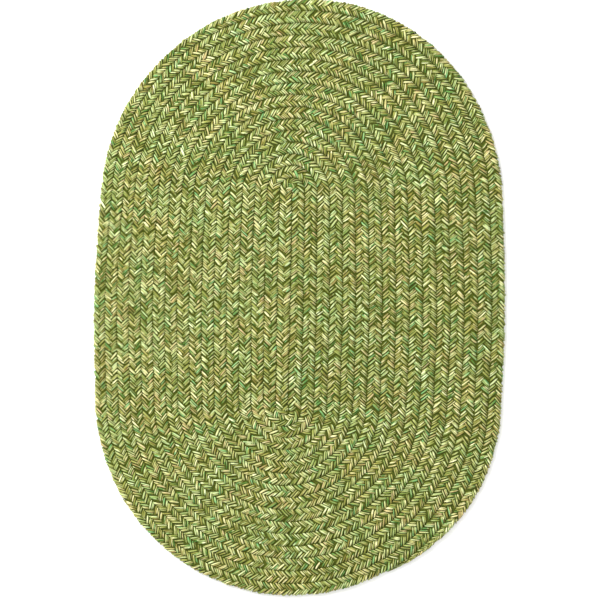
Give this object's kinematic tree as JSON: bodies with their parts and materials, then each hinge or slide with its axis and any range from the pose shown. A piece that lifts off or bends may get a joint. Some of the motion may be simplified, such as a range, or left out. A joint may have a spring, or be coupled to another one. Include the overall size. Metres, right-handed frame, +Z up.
{
  "type": "oval braided rug",
  "caption": "Oval tweed rug made of a flat braid, wound from a short middle seam and sewn edge to edge, lying flat on the floor.",
  "frame": {"origin": "middle of the rug's box, on the floor that it lies on", "axes": "+Y along the rug's long axis, towards the end where the middle seam stops; +X to the right seen from above; +Z up from the floor"},
  "size_m": [0.6086, 0.8808, 0.01],
  "materials": {
    "tweed_yarn": "matt tweed yarn, olive green with straw, emerald and tan flecks"
  },
  "bodies": {
    "root": {"braided_rug": "tweed_yarn"}
  },
  "joints": []
}
